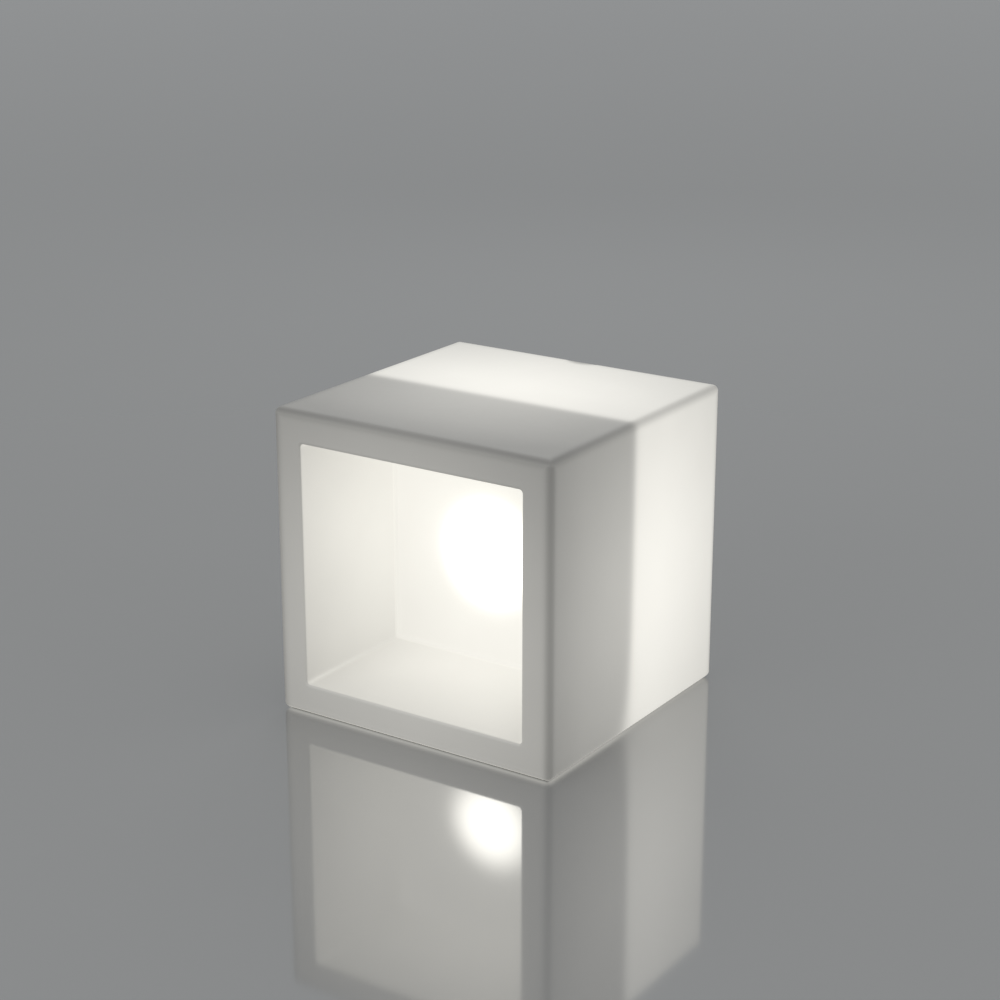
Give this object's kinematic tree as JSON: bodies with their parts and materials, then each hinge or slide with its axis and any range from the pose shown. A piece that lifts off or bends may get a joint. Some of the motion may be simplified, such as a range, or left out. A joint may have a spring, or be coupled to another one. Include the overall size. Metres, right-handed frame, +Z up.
{
  "type": "led cube light",
  "caption": "Lit cube shelf for indoors or the garden: a hollow milky plastic shell with a square niche in front and a twist-in rechargeable light engine in its back.",
  "frame": {"origin": "on the floor under the middle of the cube, between its four feet", "axes": "+X to the right seen from the front, +Y from the niche's mouth to the rear wall, +Z up; the light engine's axis runs along +Y"},
  "size_m": [0.45, 0.44, 0.445],
  "materials": {
    "shell_polyethylene": "milky translucent moulded polyethylene, satin, lit from inside",
    "foot_rubber": "grey rubber, matt",
    "stainless_screw": "stainless, turned",
    "insert_brass": "knurled brass",
    "engine_plastic": "fine textured light grey plastic",
    "housing_plastic": "light grey moulded plastic",
    "seal_rubber": "black silicone, matt",
    "button_plastic": "grey glossy plastic",
    "component_plastic": "black moulded plastic",
    "clear_pipe": "clear polished plastic",
    "nut_chrome": "nickel plated",
    "circuit_board": "green solder mask",
    "cell_wrap": "blue shrink wrap",
    "link_nickel": "bare nickel",
    "lead_insulation": "coloured insulation",
    "spreader_aluminium": "bare turned",
    "white_board": "white solder mask",
    "led_package": "yellow phosphor",
    "dome_diffuser": "opal diffuser"
  },
  "bodies": {
    "shell": {"cube_shell": "shell_polyethylene", "foot_front_left": "foot_rubber", "foot_front_right": "foot_rubber", "foot_rear_left": "foot_rubber", "foot_rear_right": "foot_rubber", "foot_screws": "stainless_screw", "foot_inserts": "insert_brass", "mounting_collar": "engine_plastic", "collar_gasket": "seal_rubber", "collar_screws": "stainless_screw", "collar_inserts": "insert_brass"},
    "light_engine": {"engine_housing": "housing_plastic", "engine_seal": "seal_rubber", "engine_cap": "engine_plastic", "cap_gasket": "seal_rubber", "cap_screws": "stainless_screw", "tact_switches": "component_plastic", "indicator_pipe": "clear_pipe", "charge_socket": "component_plastic", "socket_nut": "nut_chrome", "port_cover_pin": "stainless_screw", "vent_plug": "component_plastic", "control_board": "circuit_board", "board_parts": "component_plastic", "board_screws": "stainless_screw", "battery_cradle": "component_plastic", "battery_cells": "cell_wrap", "cell_links": "link_nickel", "battery_clamp": "component_plastic", "clamp_screw": "stainless_screw", "cradle_screws": "stainless_screw", "battery_leads": "lead_insulation", "led_leads": "lead_insulation", "lead_grommet": "seal_rubber", "heat_spreader": "spreader_aluminium", "led_board": "white_board", "leds": "led_package", "led_board_screws": "stainless_screw", "diffuser_dome": "dome_diffuser", "dome_seal": "seal_rubber", "dome_ring": "housing_plastic"},
    "power_key": {"power_button": "button_plastic", "power_button_ring": "seal_rubber"},
    "dimmer_key": {"dimmer_button": "button_plastic", "dimmer_button_ring": "seal_rubber"},
    "port_flap": {"port_cover": "engine_plastic"}
  },
  "joints": [
    {"name": "engine_twist", "type": "hinge", "parent": "shell", "child": "light_engine", "pos_m": [0, 0.2, 0.2225], "axis": [0, 1, 0], "range_deg": [0, 45]},
    {"name": "power_press", "type": "slide", "parent": "light_engine", "child": "power_key", "axis": [0, -1, 0], "range_m": [0, 0.001], "stiffness_N_per_m": 800, "springref_m": -0.001},
    {"name": "dimmer_press", "type": "slide", "parent": "light_engine", "child": "dimmer_key", "axis": [0, -1, 0], "range_m": [0, 0.001], "stiffness_N_per_m": 800, "springref_m": -0.001},
    {"name": "cover_swing", "type": "hinge", "parent": "light_engine", "child": "port_flap", "pos_m": [0, 0.2141, 0.2025], "axis": [1, 0, 0], "range_deg": [0, 120]}
  ]
}
